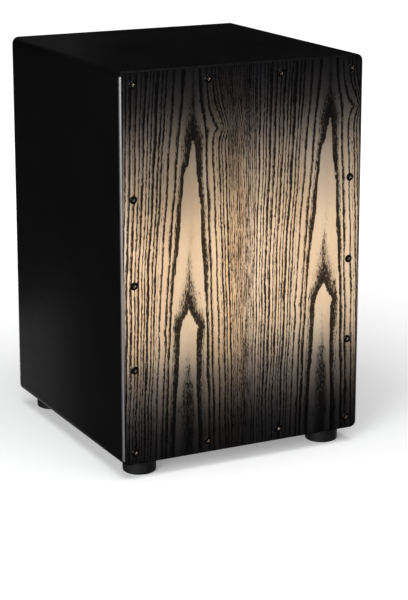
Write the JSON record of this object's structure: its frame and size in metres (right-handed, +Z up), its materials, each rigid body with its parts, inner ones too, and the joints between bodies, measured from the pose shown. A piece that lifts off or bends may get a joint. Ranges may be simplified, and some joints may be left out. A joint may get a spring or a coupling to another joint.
{
  "type": "cajon",
  "caption": "Box drum with a screwed-on ash-faced front plate, black painted body, rubber feet, a rear sound hole and tunable inner strings.",
  "frame": {"origin": "on the floor under the middle of the drum: centre of the bottom of its bounding box", "axes": "+Z up, -Y towards the front plate, +X to the right as seen from the front"},
  "size_m": [0.3, 0.3088, 0.457],
  "materials": {
    "black_lacquer": "satin",
    "stained_ash": "satin",
    "pine": "matte",
    "black_screw": "satin",
    "black_rubber": "matte",
    "zinc_steel": "satin",
    "spring_steel": "polished"
  },
  "bodies": {
    "drum": {"anchor_screw_left": "zinc_steel", "anchor_screw_right": "zinc_steel", "back_panel": "black_lacquer", "bottom_batten": "pine", "bottom_panel": "black_lacquer", "foot_back_left": "black_rubber", "foot_back_right": "black_rubber", "foot_front_left": "black_rubber", "foot_front_right": "black_rubber", "foot_screw_back_left": "zinc_steel", "foot_screw_back_right": "zinc_steel", "foot_screw_front_left": "zinc_steel", "foot_screw_front_right": "zinc_steel", "foot_washer_back_left": "zinc_steel", "foot_washer_back_right": "zinc_steel", "foot_washer_front_left": "zinc_steel", "foot_washer_front_right": "zinc_steel", "front_plate": "stained_ash", "guide_plate": "zinc_steel", "guide_screw_left": "zinc_steel", "guide_screw_right": "zinc_steel", "left_batten": "pine", "left_panel": "black_lacquer", "plate_screw_bottom_1": "black_screw", "plate_screw_bottom_2": "black_screw", "plate_screw_bottom_3": "black_screw", "plate_screw_bottom_4": "black_screw", "plate_screw_left_1": "black_screw", "plate_screw_left_2": "black_screw", "plate_screw_left_3": "black_screw", "plate_screw_right_1": "black_screw", "plate_screw_right_2": "black_screw", "plate_screw_right_3": "black_screw", "plate_screw_top_1": "black_screw", "plate_screw_top_2": "black_screw", "right_batten": "pine", "right_panel": "black_lacquer", "string_anchor": "zinc_steel", "string_left": "spring_steel", "string_right": "spring_steel", "tension_washer_left": "zinc_steel", "tension_washer_right": "zinc_steel", "top_batten": "pine", "top_panel": "black_lacquer"},
    "tension_bolt_left": {"tension_bolt_left": "zinc_steel", "stop_nut_left": "zinc_steel"},
    "string_carriage_left": {"string_carriage_left": "zinc_steel"},
    "corner_screw_left": {"corner_screw_left": "black_screw"},
    "tension_bolt_right": {"tension_bolt_right": "zinc_steel", "stop_nut_right": "zinc_steel"},
    "string_carriage_right": {"string_carriage_right": "zinc_steel"},
    "corner_screw_right": {"corner_screw_right": "black_screw"}
  },
  "joints": [
    {"name": "tension_bolt_left_turn", "type": "hinge", "parent": "drum", "child": "tension_bolt_left", "pos_m": [-0.025, -0.1403, 0.0155], "axis": [0, 0, -1], "range_deg": [0, 1440]},
    {"name": "string_carriage_left_slide", "type": "slide", "parent": "drum", "child": "string_carriage_left", "axis": [0, 0, 1], "range_m": [0, 0.004], "deforming": ["string_left"]},
    {"name": "tension_bolt_right_turn", "type": "hinge", "parent": "drum", "child": "tension_bolt_right", "pos_m": [0.025, -0.1403, 0.0155], "axis": [0, 0, -1], "range_deg": [0, 1440]},
    {"name": "string_carriage_right_slide", "type": "slide", "parent": "drum", "child": "string_carriage_right", "axis": [0, 0, 1], "range_m": [0, 0.004], "deforming": ["string_right"]},
    {"name": "corner_screw_left_turn", "type": "hinge", "parent": "drum", "child": "corner_screw_left", "pos_m": [-0.135, -0.1536, 0.4425], "axis": [0, -1, 0], "range_deg": [0, 300]},
    {"name": "corner_screw_right_turn", "type": "hinge", "parent": "drum", "child": "corner_screw_right", "pos_m": [0.135, -0.1536, 0.4425], "axis": [0, -1, 0], "range_deg": [0, 300]}
  ],
  "couplings": [
    {"joint": "tension_bolt_left_turn", "follows": "string_carriage_left_slide", "rad_per_m": 6283.2},
    {"joint": "tension_bolt_right_turn", "follows": "string_carriage_right_slide", "rad_per_m": 6283.2}
  ]
}
